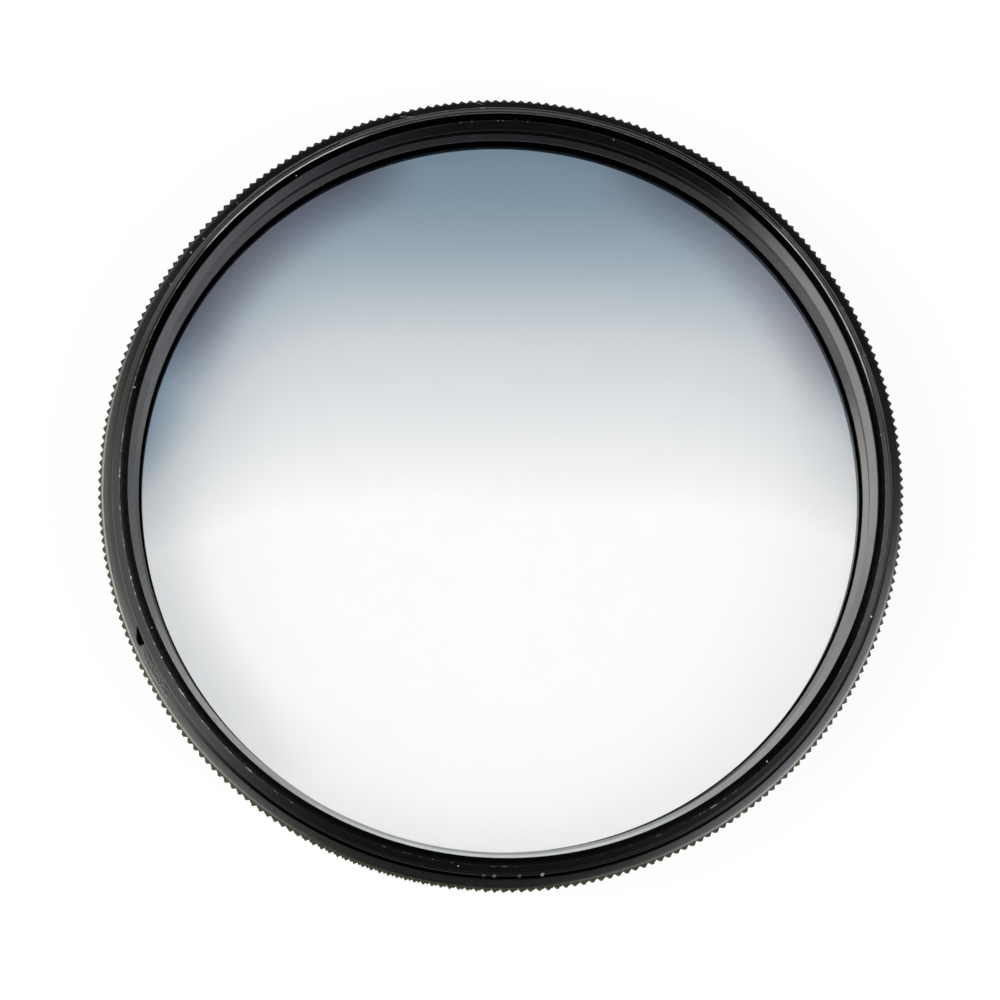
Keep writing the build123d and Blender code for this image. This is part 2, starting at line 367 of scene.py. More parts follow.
def mount_ring_mesh(plan):
    """The mount ring: knurled flange, barrel with its helical thread and lead, mouth cone and counterbore."""
    bearings, radii = tooth_corners(
        plan.knurl_teeth, 0.0, plan.mount_tip, plan.knurl_depth, plan.tip_wear, seed=3
    )
    columns = np.sort(bearings % (2 * math.pi))
    gaps = np.diff(columns)
    marked = (columns[:-1] > math.radians(201.5)) & (columns[1:] < math.radians(214.0))
    extra = [columns[:-1][marked] + gaps[marked] * part for part in (0.25, 0.5, 0.75)]
    angles = np.sort(np.concatenate((columns, *extra)))
    tooth = np.interp(angles, bearings, radii, period=2 * math.pi)
    ring = Turning(angles)
    core = plan.mount_tip - plan.knurl_depth - 0.02
    edge = plan.edge_break
    groove_bottom = plan.wire_bottom - 0.05
    groove_top = plan.wire_top + 0.05
    groove_radius = plan.wire_outer + 0.05
    bevel_slope = plan.knurl_bevel / plan.knurl_depth
    face_edge = plan.flange_top - plan.flange_fall
    ring.run(
        (plan.counterbore, groove_bottom),
        (plan.counterbore, plan.flange_bottom, edge),
        (core, plan.flange_bottom),
    )
    ring.row(tooth, plan.flange_bottom, flank=True)
    ring.row(tooth, face_edge - bevel_slope * (tooth - core), flank=True)
    ring.row(core, face_edge)
    for radius in np.linspace(core - 0.06, plan.relief_radius + 0.06, 21):
        fall = plan.flange_fall * np.clip((radius - 38.9) / (core - 38.9), 0.0, 1.0) ** 1.5
        ring.row(radius, plan.flange_top - fall - flange_mark_depth(angles, radius), sharp=False)
    ring.row(plan.relief_radius, plan.flange_top)
    ring.row(plan.relief_radius, plan.flange_top + plan.relief_length - 0.02)
    thread_bottom = plan.flange_top + plan.relief_length
    thread_depth = plan.thread_radius - plan.relief_radius
    heights = np.concatenate((
        np.linspace(thread_bottom, plan.lead_start - 0.05, 13),
        np.linspace(plan.lead_start, plan.barrel_top - 0.05, 16),
    ))
    for height in heights:
        groove = thread_groove(angles, height, plan.thread_pitch, plan.lead_start + 0.154)
        if height >= plan.lead_start:
            groove = groove * groove_left(angles)
        lead = np.clip((height - plan.lead_start) / plan.lead_length, 0.0, 1.0)
        cone = plan.thread_radius - plan.lead_depth * lead
        ring.row(np.minimum(plan.thread_radius - thread_depth * groove, cone), height, sharp=False)
    lead_end = plan.thread_radius - plan.lead_depth
    ring.run(
        (lead_end, plan.barrel_top),
        (plan.end_face_radius, plan.barrel_top, 0.02),
        (plan.mouth_radius, plan.mouth_height, 0.02),
        (plan.mouth_radius, plan.undercut_height, 0.02),
        (plan.undercut_radius, plan.undercut_height),
        (plan.undercut_radius, plan.mount_shoulder),
        (plan.counterbore, plan.mount_shoulder),
        (plan.counterbore, groove_top),
        (groove_radius, groove_top),
        (groove_radius, groove_bottom),
    )
    return ring.mesh("mount_ring_turned")


def rotating_ring_mesh(plan):
    """The rotating ring: front rim, knurl, sleeve, glass seat and the helical female thread."""
    angles, tooth = tooth_corners(
        plan.knurl_teeth, 0.5, plan.rotor_tip, plan.knurl_depth, plan.tip_wear, seed=5
    )
    ring = Turning(angles)
    core = plan.rotor_tip - plan.knurl_depth - 0.02
    edge = plan.edge_break
    bevel_slope = plan.knurl_bevel / plan.knurl_depth
    groove_bottom = plan.wire_bottom - 0.1
    groove_top = plan.wire_top + 0.1
    groove_radius = plan.wire_outer - (plan.wire_top - plan.wire_bottom) - 0.1
    ring.run(
        (plan.front_thread_radius + plan.mouth_bevel, 0.0),
        (plan.rim_radius - plan.rim_bevel, 0.0, edge),
        (plan.rim_radius, plan.rim_bevel, edge),
        (plan.rim_radius, plan.rim_height),
        (core, plan.rim_height),
    )
    ring.row(tooth, plan.rim_height + bevel_slope * (tooth - core), flank=True)
    ring.row(tooth, plan.shoulder_height, flank=True)
    ring.run(
        (core, plan.shoulder_height),
        (plan.sleeve_radius, plan.shoulder_height),
        (plan.sleeve_radius, groove_bottom),
        (groove_radius, groove_bottom),
        (groove_radius, groove_top),
        (plan.sleeve_radius, groove_top),
        (plan.sleeve_radius, plan.sleeve_top, edge),
        (plan.sleeve_bore, plan.sleeve_top, edge),
        (plan.sleeve_bore, plan.lip_back),
        (plan.lip_radius, plan.lip_edge, 0.03),
        (plan.lip_radius, plan.glass_top),
        (plan.seat_radius, plan.glass_top),
        (plan.seat_radius, plan.retainer_hole_end),
        (plan.retainer_hole, plan.retainer_hole_end),
        (plan.retainer_hole, plan.front_thread_end),
    )
    root = plan.thread_radius - plan.front_thread_radius
    ring.row(plan.front_thread_radius, plan.front_thread_end)
    for height in np.linspace(plan.front_thread_end - 0.06, 0.05, 27):
        cut = thread_groove(angles, height, plan.thread_pitch, 0.4)
        bevel = plan.front_thread_radius + max(0.0, plan.mouth_bevel - height)
        ring.row(np.maximum(plan.front_thread_radius + root * cut, bevel), height, sharp=False)
    return ring.mesh("rotating_ring_turned")


def disc_mesh(plan):
    """The glass disc with its ground edge and small bevels."""
    angles = np.arange(360) * 2 * math.pi / 360
    disc = Turning(angles)
    bevel = 0.18
    inner = 0.5
    disc.run(
        (inner, plan.glass_bottom),
        (plan.glass_radius - bevel, plan.glass_bottom),
        (plan.glass_radius, plan.glass_bottom + bevel),
        (plan.glass_radius, plan.glass_top - bevel),
        (plan.glass_radius - bevel, plan.glass_top),
        (inner, plan.glass_top),
    )
    data = disc.mesh("graduated_disc")
    return close_middle(data, inner * MM)


def close_middle(data, radius):
    """Replaces the inner wall of a turned disc by a flat cap on each side."""
    shell = bmesh.new()
    shell.from_mesh(data)
    wall = [
        face
        for face in shell.faces
        if all(point.co.xy.length < radius * 1.01 for point in face.verts)
    ]
    bmesh.ops.delete(shell, geom=wall, context="FACES_ONLY")
    rims = [edge for edge in shell.edges if edge.is_boundary]
    bmesh.ops.holes_fill(shell, edges=rims, sides=0)
    bmesh.ops.recalc_face_normals(shell, faces=shell.faces)
    shell.to_mesh(data)
    shell.free()
    return data


def retaining_ring_mesh(plan):
    """The retaining ring with its two spanner slots."""
    ring = Turning(np.arange(480) * 2 * math.pi / 480)
    edge = plan.edge_break
    ring.run(
        (plan.retainer_bore, plan.retainer_bottom + 0.3),
        (plan.retainer_bore, plan.retainer_bottom, edge),
        (plan.retainer_radius, plan.retainer_bottom, edge),
        (plan.retainer_radius, plan.retainer_top, edge),
        (plan.retainer_bore, plan.retainer_top, edge),
        (plan.retainer_bore, plan.retainer_top - 0.3),
    )
    return cut_slots(ring.mesh("retaining_ring_turned"), plan)


def cut_slots(data, plan):
    """Takes two opposite slots out of the ring's front face, from the outside in to a wall at the bore."""
    ring = bpy.data.objects.new("slot_blank", data)
    bar_data = bpy.data.meshes.new("slot_bar")
    shell = bmesh.new()
    inner = plan.retainer_bore + plan.slot_wall
    outer = plan.retainer_radius + plan.slot_wall
    size = Vector((plan.slot_width, outer - inner, 2 * plan.slot_depth)) * MM
    for side in (-1, 1):
        middle = Vector((0.0, side * (inner + outer) / 2, plan.retainer_bottom)) * MM
        bmesh.ops.create_cube(shell, size=1.0, matrix=Matrix.Translation(middle) @ Matrix.Diagonal(size).to_4x4())
    shell.to_mesh(bar_data)
    shell.free()
    bar = bpy.data.objects.new("slot_bar", bar_data)
    for item in (ring, bar):
        bpy.context.scene.collection.objects.link(item)
    cut = ring.modifiers.new("slots", "BOOLEAN")
    cut.object = bar
    cut.operation = "DIFFERENCE"
    cut.solver = "EXACT"
    bpy.context.view_layer.update()
    made = bpy.data.meshes.new_from_object(ring.evaluated_get(bpy.context.evaluated_depsgraph_get()))
    for item in (ring, bar):
        bpy.data.objects.remove(item)
    for blank in (data, bar_data):
        bpy.data.meshes.remove(blank)
    made.name = "retaining_ring_turned"
    made.set_sharp_from_angle(angle=math.radians(30))
    return made


class Term:
    """A shader node's output, so that shader maths reads as a Python expression."""

    def __init__(self, tree, socket=None):
        self.tree = tree
        self.socket = socket

    def node(self, kind, settings=None, inputs=None, output=0):
        """Adds a node: its settings first, then the values or links of its sockets. Gives one of its outputs."""
        made = self.tree.nodes.new(kind)
        for name, value in (settings or {}).items():
            if name == "stops":
                for stop in list(made.color_ramp.elements)[1:]:
                    made.color_ramp.elements.remove(stop)
                made.color_ramp.elements[0].position = value[0][0]
                made.color_ramp.elements[0].color = value[0][1]
                for place, stop_colour in value[1:]:
                    made.color_ramp.elements.new(place).color = stop_colour
            else:
                setattr(made, name, value)
        for name, value in (inputs or {}).items():
            if isinstance(value, Term):
                self.tree.links.new(value.socket, made.inputs[name])
            else:
                made.inputs[name].default_value = value
        return Term(self.tree, made.outputs[output] if len(made.outputs) else None)

    def also(self, output):
        """Another output of the same node."""
        return Term(self.tree, self.socket.node.outputs[output])

    def math(self, operation, first, second=0.0):
        return self.node("ShaderNodeMath", {"operation": operation}, {0: first, 1: second})

    def __add__(self, other):
        return self.math("ADD", self, other)

    def __radd__(self, other):
        return self.math("ADD", other, self)

    def __sub__(self, other):
        return self.math("SUBTRACT", self, other)

    def __rsub__(self, other):
        return self.math("SUBTRACT", other, self)

    def __mul__(self, other):
        return self.math("MULTIPLY", self, other)

    def __rmul__(self, other):
        return self.math("MULTIPLY", other, self)

    def __truediv__(self, other):
        return self.math("DIVIDE", self, other)

    def __pow__(self, other):
        return self.math("POWER", self, other)

    def __rpow__(self, other):
        return self.math("POWER", other, self)

    def __gt__(self, other):
        return self.math("GREATER_THAN", self, other)

    def __abs__(self):
        return self.math("ABSOLUTE", self)

    def __or__(self, other):
        return self.math("MAXIMUM", self, other)


def rgba(value):
    return (value[0], value[1], value[2], 1.0)


def blank_material(name):
    """A new material with an empty node tree, and the Term that starts its nodes."""
    material = bpy.data.materials.new(name)
    material.use_nodes = True
    material.node_tree.nodes.clear()
    return material, Term(material.node_tree)


def fade(value, start, end):
    """0 at start, 1 at end, smooth between."""
    return value.node(
        "ShaderNodeMapRange",
        {"interpolation_type": "SMOOTHSTEP"},
        {"Value": value, "From Min": start, "From Max": end, "To Min": 0.0, "To Max": 1.0},
    )


def near(value, centre, half_width, soft):
    """1 within half_width of centre, fading to 0 over soft."""
    return fade(abs(value - centre), half_width + soft, half_width)


def mixed(factor, first, second):
    """Colour mix; each colour is a Term or a plain colour."""
    inputs = {0: factor}
    for index, value in ((6, first), (7, second)):
        inputs[index] = value if isinstance(value, Term) else rgba(value)
    return factor.node("ShaderNodeMix", {"data_type": "RGBA"}, inputs, output=2)


def polar_place(start):
    """The point on the piece in millimetres: its vector, x, y, z and its radius from the axis."""
    place = start.node("ShaderNodeTexCoord", output="Object")
    scaled = start.node("ShaderNodeVectorMath", {"operation": "SCALE"}, {0: place, "Scale": 1 / MM})
    x = start.node("ShaderNodeSeparateXYZ", inputs={"Vector": scaled})
    y = x.also("Y")
    z = x.also("Z")
    radius = (x * x + y * y) ** 0.5
    turn = start.math("ARCTAN2", y, x) * math.degrees(1.0)
    degrees = start.math("FLOORED_MODULO", turn, 360.0)
    return SimpleNamespace(place=scaled, x=x, y=y, z=z, radius=radius, degrees=degrees)


def facing(here, degrees):
    """1 on the side of the piece at this bearing from +X, -1 on the side opposite."""
    turn = math.radians(degrees)
    return (here.x * math.cos(turn) + here.y * math.sin(turn)) / here.radius


def mark(here, degrees, radius, half_degrees, half_width):
    """A small mark at a bearing and a radius, 1 inside and 0 outside."""
    along = near(here.degrees, degrees, half_degrees * 0.7, half_degrees * 0.6)
    return along * near(here.radius, radius, half_width * 0.7, half_width * 0.6)


def turned_vector(here, around, across):
    """Coordinates that are stretched along the lathe's cut: slow around the axis, quick across it."""
    return here.x.node(
        "ShaderNodeCombineXYZ",
        inputs={
            "X": here.x / here.radius * around,
            "Y": here.y / here.radius * around,
            "Z": (here.radius + here.z * 0.7) * across,
        },
    )


def noise(vector, scale, detail=3.0, roughness=0.55):
    return vector.node(
        "ShaderNodeTexNoise",
        {"noise_dimensions": "3D"},
        {"Vector": vector, "Scale": scale, "Detail": detail, "Roughness": roughness},
    )


def specks(here, cell, size, chosen):
    """Small round specks: a share of the cells of a Voronoi pattern holds one."""
    distance = here.x.node(
        "ShaderNodeTexVoronoi", {"feature": "F1"}, {"Vector": here.place, "Scale": 1 / cell}, output="Distance"
    )
    pick = here.x.node("ShaderNodeSeparateColor", inputs={"Color": distance.also("Color")})
    radius = size / cell * (0.35 + 0.65 * pick.also("Green"))
    return fade(distance / radius, 1.0, 0.75) * (pick > 1.0 - chosen)


def anodised_nodes(start, here, finish, masks):
    """Principled shader of black anodised, turned aluminium.

    Masks: tones in order as (mask, colour, share of metal), bare metal, dust, galled patches, smoothly cut
    faces and hollows.
    """
    lathe = noise(turned_vector(here, 1.6, 7.0), 1.0, 4.0, 0.65)
    fine = noise(turned_vector(here, 14.0, 26.0), 1.0, 2.0)
    cloud = noise(here.place, 0.35, 3.0)
    base = mixed(fade(lathe * 0.6 + cloud * 0.4, 0.35, 0.72), finish.anodised, finish.anodised_pale)
    grain = noise(here.place, 3.2, 2.0, 0.6)
    rough = 0.28 + 0.10 * lathe + 0.16 * grain
    height = lathe * 0.7 + fine * 0.5 + grain * 1.8
    metal = masks.worn
    for mask, tone, metal_share in masks.tones:
        base = mixed(mask, base, tone)
        metal = metal + mask * (metal_share - metal)
    metal = (metal | masks.worn) * (1.0 - masks.dusty)
    base = mixed(masks.worn, base, finish.bare_metal)
    base = mixed(masks.dusty, base, finish.dust)
    if masks.smooth:
        rough = rough - 0.20 * masks.smooth
    if masks.galled:
        pits = fade(noise(here.place, 4.2, 3.0, 0.6), 0.40, 0.62)
        height = height + masks.galled * pits * 9.0
        rough = rough + 0.26 * masks.galled * (pits - 0.45)
    if masks.hollow:
        rough = rough + 0.5 * masks.hollow
    rough = rough + 0.25 * masks.dusty
    bump = start.node("ShaderNodeBump", inputs={"Strength": 0.35, "Distance": 0.00002, "Height": height})
    return start.node(
        "ShaderNodeBsdfPrincipled",
        inputs={
            "Base Color": base,
            "Roughness": rough,
            "Metallic": metal,
            "Normal": bump,
            "Anisotropic": 0.75,
            "Anisotropic Rotation": 0.25,
            "IOR": 2.0,
        },
    )


def finish_masks(**given):
    """The masks of one anodised finish; those left out are empty."""
    return SimpleNamespace(**{"tones": (), "smooth": None, "galled": None, "hollow": None, **given})


def mount_finish(plan):
    """Black anodised mount ring: worn thread edges, a nick with a galled patch, scratches and dust, with painted light
    on the mouth and flange rim, painted glints and highlight on the end face's edge, and painted shade on the lead,
    end face, flange and nick.
    """
    finish = bpy.context.scene.lens_filter_finish
    material, start = blank_material("black_anodised_mount")
    here = polar_place(start)
    broken = noise(turned_vector(here, 55.0, 6.0), 1.0, 3.0, 0.7)
    patchy = noise(turned_vector(here, 5.0, 1.0), 1.0, 2.0)
    lead_end = plan.thread_radius - plan.lead_depth
    near_end = fade(here.z, plan.barrel_top - 0.16, plan.barrel_top - 0.09)
    crest = near(here.radius, plan.thread_radius, 0.04, 0.06) * near(here.z, plan.lead_start, 0.07, 0.08)
    end_edge = near(here.radius, lead_end + 0.05, 0.05, 0.02) * near_end
    inner_edge = near(here.radius, plan.end_face_radius, 0.03, 0.04) * near_end
    level = 0.70 - 0.30 * finish.wear
    worn = crest * fade(broken + patchy * 0.25, level + 0.05, level + 0.25) * 0.5
    worn = worn | end_edge * fade(broken + patchy * 0.35, level + 0.16, level + 0.36) * 0.4
    worn = worn | inner_edge * fade(broken + patchy * 0.2, level + 0.20, level + 0.30) * 0.3
    worn = worn | mark(here, 93.4, plan.thread_radius, 0.35, 0.09)
    worn = worn | mark(here, 339.8, plan.thread_radius - 0.1, 0.11, 0.09)
    mouth = fade(here.radius, plan.end_face_radius - 0.02, plan.end_face_radius - 0.06)
    mouth = mouth * (here.z > plan.undercut_height - 0.01)
    at_bottom = facing(here, 268.0)
    lead = fade(here.z, plan.lead_start - 0.02, plan.lead_start + 0.06)
    lead = lead * fade(here.radius, lead_end, lead_end + 0.03)
    # Painted shade: the lead darkened towards the bottom and the lower left.
    lead_shade = 0.93 * fade(facing(here, 278.0), 0.0, 0.9) | 0.62 * fade(facing(here, 197.0), 0.6, 0.9)
    # Painted shade: a dark line across the lead near the end face, on the upper half.
    lead_shade_line = lead * near(here.radius, lead_end + 0.23, 0.08, 0.03) * fade(facing(here, 90.0), -0.1, 0.5)
    # Painted shade in the thread's groove where it cuts the lead, and in the wedges where it runs out.
    under_cone = plan.thread_radius - here.radius - (here.z - plan.lead_start) * (plan.lead_depth / plan.lead_length)
    groove = fade(under_cone, 0.008, 0.035) * 0.9
    below_crest = plan.thread_radius - 0.1 - here.radius
    for blunt, thin in THREAD_ENDS:
        width = 0.12 + 0.22 * fade(here.degrees, thin, blunt)
        run_out_shade = fade(below_crest, 0.0, 0.04) * fade(below_crest - width, 0.03, 0.0)
        groove = groove | run_out_shade * near(here.degrees, (blunt + thin) / 2, (thin - blunt) / 2, 0.2)
    groove = lead * groove
    end_face = fade(here.z, plan.barrel_top - 0.06, plan.barrel_top - 0.03)
    end_face = end_face * fade(here.radius, plan.end_face_radius - 0.05, plan.end_face_radius - 0.02)
    end_face = end_face * fade(here.radius, lead_end + 0.02, lead_end)
    # Painted shade over the end face, lifted by painted light on its outer half at the bottom, left and right.
    outer_half = fade(here.radius, lead_end - 0.38, lead_end - 0.18)
    end_light = 0.75 * fade(facing(here, 255.0), 0.4, 0.95) | 0.6 * fade(facing(here, 196.0), 0.75, 0.95)
    end_light = end_light | 0.45 * fade(facing(here, 8.0), 0.8, 0.97)
    end_shade = 0.95 - end_light * (0.3 + 0.7 * outer_half)
    # Wear and painted highlight: a broken light line along the end face's outer edge, left off at the bottom.
    end_wear_and_highlight = end_edge * fade(broken, 0.42, 0.6) * fade(at_bottom, 0.75, 0.1)
    # Painted glints on the end face's outer edge at two bearings, and broken painted highlight at the lower left.
    glint = fade(facing(here, 30.0), 0.955, 0.985) | fade(facing(here, 127.0), 0.96, 0.985)
    glint = glint * near(here.radius, lead_end + 0.075, 0.08, 0.02) * (here.z > plan.barrel_top - 0.2)
    glint = glint | end_edge * 0.4 * fade(facing(here, 198.0), 0.88, 0.97) * fade(broken, 0.55, 0.68)
    teeth = fade(here.radius, plan.mount_tip - plan.knurl_depth - 0.03, plan.mount_tip - plan.knurl_depth + 0.03)
    grime = teeth * (0.3 + 0.7 * fade(here.z, plan.flange_top - 0.7, plan.flange_top - 0.4))
    on_flange = near(here.z, plan.flange_top, 0.1, 0.05)
    # Painted shade on the flange at the foot of the thread, on the lower right.
    foot = on_flange * fade(here.radius, 38.84, 38.74) * fade(facing(here, 300.0), 0.0, 0.4)
    # Painted shade on the thread's wall, on the lower right.
    wall = near(here.radius, plan.thread_radius - 0.25, 0.3, 0.05) * fade(here.z, plan.lead_start + 0.04, plan.lead_start)
    wall = wall * fade(here.z, plan.flange_top + 0.02, plan.flange_top + 0.06) * fade(facing(here, 285.0), 0.1, 0.6) * 0.8
    flange_edge = plan.mount_tip - plan.knurl_depth
    # Painted highlight on the rim of the flange face, at the lower left and lower right.
    rim = on_flange * fade(here.radius, flange_edge - 0.24, flange_edge - 0.14)
    rim = rim * fade(here.radius, flange_edge + 0.02, flange_edge - 0.03)
    rim = rim * (fade(facing(here, 188.0), 0.5, 0.9) | fade(facing(here, 318.0), 0.72, 0.92))
    # Painted shade on the inner part of the flange face, at the left.
    inner_flange_shade = on_flange * fade(here.radius, flange_edge - 0.16, flange_edge - 0.24)
    inner_flange_shade = inner_flange_shade * fade(facing(here, 176.0), 0.88, 0.97) * 0.35
    galled = on_flange * near(here.degrees, 209.3, 2.4, 2.4) * near(here.radius, 38.85, 0.18, 0.22)
    wedge = (here.degrees - 202.3) * 0.28 + 38.60 - here.radius
    nick = fade(here.radius, 38.49, 38.54) * fade(wedge, -0.03, 0.02) * fade(here.radius, 39.07, 39.02)
    nick = nick * near(here.degrees, 203.55, 1.25, 0.08) * (here.z > plan.flange_top - 0.5)
    nick = nick * fade(here.z, plan.flange_top + 0.1, plan.flange_top + 0.05)
    scratch = (here.degrees - 93.9) * 0.356 + 39.55 - here.radius
    scratch = near(scratch, 0.0, 0.03, 0.05) * near(here.degrees, 93.9, 0.5, 0.1)
    graze = (here.degrees - 104.75) * 0.19 + 39.13 - here.radius
    scratch = (scratch | near(graze, 0.0, 0.03, 0.05) * near(here.degrees, 104.75, 0.8, 0.2)) * on_flange
    for degrees in (86.5, 90.4, 91.2, 95.3, 97.1):
        worn = worn | mark(here, degrees, plan.end_face_radius, 0.1, 0.05) * near_end
    for degrees in (208.3, 214.6, 7.4):
        worn = worn | mark(here, degrees, lead_end, 0.1, 0.08) * near_end
    worn = worn | mark(here, 52.1, plan.end_face_radius, 0.3, 0.03) * near_end * 0.2
    dusty = specks(here, 1.1, 0.10, 0.12)
    for degrees, radius in ((140.75, 38.99), (143.55, 39.07), (149.23, 38.82)):
        dusty = dusty | mark(here, degrees, radius, 0.12, 0.08) * on_flange
    dusty = dusty | mark(here, 133.4, 39.1, 0.06, 0.15) * on_flange * 0.6
    for degrees, strength in ((267.0, 0.3), (268.5, 0.5), (272.1, 0.4), (275.4, 1.0)):
        dusty = dusty | mark(here, degrees, plan.thread_radius, 0.22, 0.12) * strength
    smooth = end_face | mouth * 0.4
    masks = finish_masks(
        tones=(
            (mouth, finish.mouth_dark, 1.0),
            # Painted light by bearing on the mouth: lower left and lower right, and a painted reflection brightest at
            # the bottom.
            (mouth * fade(facing(here, 205.0), -0.4, 0.85), finish.mouth_dull, 1.0),
            (mouth * fade(facing(here, 330.0), 0.05, 0.5), finish.mouth_rubbed, 1.0),
            (mouth * fade(at_bottom, 0.2, 0.72), finish.mouth_bare, 1.0),
            (mouth * fade(at_bottom, 0.8, 0.98) * fade(here.radius, 36.47, 36.57), finish.mouth_bright, 1.0),
            (lead * lead_shade, finish.deep_black, 1.0),
            (lead_shade_line | groove, finish.deep_black, 1.0),
            (end_face * end_shade, finish.deep_black, 1.0),
            (foot | wall | inner_flange_shade, finish.deep_black, 1.0),
            (rim, finish.flange_rubbed, 1.0),
            (grime, finish.knurl_grime, 0.6),
            (end_wear_and_highlight, finish.edge_line, 1.0),
            (glint, finish.edge_bright, 1.0),
            (scratch * 0.5, finish.dust, 0.0),
            # Painted shade in the nick.
            (nick, finish.deep_black, 1.0),
        ),
        worn=worn,
        dusty=dusty,
        galled=galled,
        smooth=smooth,
        hollow=nick | teeth * 0.6,
    )
    shader = anodised_nodes(start, here, finish, masks)
    start.node("ShaderNodeOutputMaterial", inputs={"Surface": shader})
    return material


def rotor_finish(plan):
    """Black anodised rotating ring with a paler lip over the glass, painted light and highlight on the lip's sides,
    and painted shade on the lip and bore at the top.
    """
    finish = bpy.context.scene.lens_filter_finish
    material, start = blank_material("black_anodised_rotor")
    here = polar_place(start)
    broken = noise(turned_vector(here, 45.0, 6.0), 1.0, 3.0, 0.7)
    rim = near(here.radius, plan.rim_radius - 0.15, 0.2, 0.1) * fade(here.z, 0.45, 0.2)
    tips = fade(here.radius, plan.rotor_tip - 0.06, plan.rotor_tip - 0.01)
    roots = plan.rotor_tip - plan.knurl_depth
    teeth = fade(here.radius, roots - 0.03, roots + 0.03)
    level = 0.70 - 0.30 * finish.wear
    lip = near(here.z, plan.lip_edge + plan.lip_rise / 2, plan.lip_rise / 2, 0.03)
    lip = lip * fade(here.radius, plan.sleeve_bore - 0.005, plan.sleeve_bore - 0.03)
    bore = near(here.radius, plan.sleeve_bore, 0.02, 0.02) * fade(here.z, plan.lip_back - 0.02, plan.lip_back + 0.02)
    masks = finish_masks(
        tones=(
            (lip, finish.lip_grey, 0.5),
            # Painted light on the lip's left side and painted highlight on its right side.
            (lip * fade(facing(here, 186.0), 0.8, 0.97), finish.lip_haze, 0.0),
            (lip * fade(facing(here, 338.0), 0.75, 0.95), finish.lip_rubbed, 0.0),
            # Painted shade on the lip and the bore at the top.
            (lip * fade(facing(here, 90.0), 0.45, 0.9) * 0.35, finish.deep_black, 1.0),
            (bore * fade(facing(here, 90.0), 0.5, 0.95), finish.deep_black, 1.0),
            (teeth * 0.3, finish.knurl_grime, 0.6),
        ),
        worn=(rim | tips) * fade(broken, level, level + 0.12) * 0.6,
        dusty=specks(here, 1.3, 0.10, 0.08),
        hollow=bore | lip * 0.35 | teeth * 0.6,
    )
    shader = anodised_nodes(start, here, finish, masks)
    start.node("ShaderNodeOutputMaterial", inputs={"Surface": shader})
    return material


def retainer_finish(plan):
    """Matt black retaining ring, worn at its slots, with painted shade over its bore and painted light on the bore's
    right side.
    """
    finish = bpy.context.scene.lens_filter_finish
    material, start = blank_material("black_retainer")
    here = polar_place(start)
    broken = noise(here.place, 4.0, 3.0, 0.7)
    slot_edge = near(abs(here.x), plan.slot_width / 2, 0.05, 0.08)
    slot_edge = slot_edge * fade(here.radius, plan.retainer_bore + plan.slot_wall, plan.retainer_bore + plan.slot_wall + 0.1)
    bore = near(here.radius, plan.retainer_bore, 0.06, 0.04)
    masks = finish_masks(
        tones=(
            # Painted shade over the bore, and painted light on its right side.
            (bore, finish.deep_black, 1.0),
            (bore * fade(facing(here, 20.0), 0.6, 0.95), finish.lip_haze, 0.0),
        ),
        worn=slot_edge * fade(broken, 0.5, 0.65) * 0.7,
        dusty=specks(here, 2.0, 0.06, 0.05),
    )
    shader = anodised_nodes(start, here, finish, masks)
    start.node("ShaderNodeOutputMaterial", inputs={"Surface": shader})
    return material


def glass_finish(plan):
    """Clear glass with a slow grey tint and a steeper blue one along Y, both bowed down at the sides as painted
    shadow, more painted shadow at the rim, and a ground edge.
    """
    finish = bpy.context.scene.lens_filter_finish
    material, start = blank_material("graduated_glass")
    here = polar_place(start)
    side = abs(here.x - 0.05 * plan.glass_radius) / plan.glass_radius
    # Painted shadow: the bow pulls both tints down towards the sides of the disc.
    bowed = here.y + side**6 * (2.0 * finish.tint_bow / MM) * fade(here.y, -14.0, 8.0)
    grey_start = finish.grey_start / MM
    grey = start.math("MAXIMUM", (bowed - grey_start) / (finish.grey_full / MM - grey_start), 0.0)
    # Painted shadow at the lower left rim, laid into the grey tint.
    grey = grey + 0.27 * fade(facing(here, 203.0), 0.8, 1.0) * fade(here.radius, 29.0, 36.0)
    blue_step = fade(bowed, finish.blue_start / MM, finish.blue_full / MM)
    # Painted shadow at the rim of the disc, upper left and upper right.
    rim = 0.95 * fade(facing(here, 134.0), 0.86, 0.97) | 0.6 * fade(facing(here, 43.0), 0.84, 0.97)
    rim = rim * fade(here.radius, 30.0, 36.2)
    red, green, blue = (
        slow**grey * steep**blue_step * edge**rim
        for slow, steep, edge in zip(finish.tint_grey, finish.tint_blue, finish.rim_shade)
    )
    tint = start.node("ShaderNodeCombineColor", inputs={"Red": red, "Green": green, "Blue": blue})
    ground = fade(here.radius, plan.glass_radius - 0.2, plan.glass_radius - 0.1)
    shader = start.node(
        "ShaderNodeBsdfPrincipled",
        inputs={
            "Base Color": tint,
            "Roughness": ground * 0.5,
            "Transmission Weight": 1.0,
            "IOR": 1.5,
        },
    )
    start.node("ShaderNodeOutputMaterial", inputs={"Surface": shader})
    return material


def wire_finish():
    """Drawn spring steel."""
    finish = bpy.context.scene.lens_filter_finish
    material, start = blank_material("spring_steel")
    here = polar_place(start)
    drawn = noise(turned_vector(here, 2.0, 12.0), 1.0, 3.0)
    base = mixed(drawn, finish.steel, (0.3, 0.29, 0.28))
    shader = start.node(
        "ShaderNodeBsdfPrincipled",
        inputs={"Base Color": base, "Roughness": 0.25 + 0.2 * drawn, "Metallic": 1.0},
    )
    start.node("ShaderNodeOutputMaterial", inputs={"Surface": shader})
    return material


def place_piece(data, material, body, node):
    """Puts a new piece in the scene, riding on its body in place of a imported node."""
    piece = bpy.data.objects.new(data.name, data)
    bpy.context.scene.collection.objects.link(piece)
    data.materials.clear()
    data.materials.append(material)
    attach(piece, body)
    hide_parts(node)
    return piece


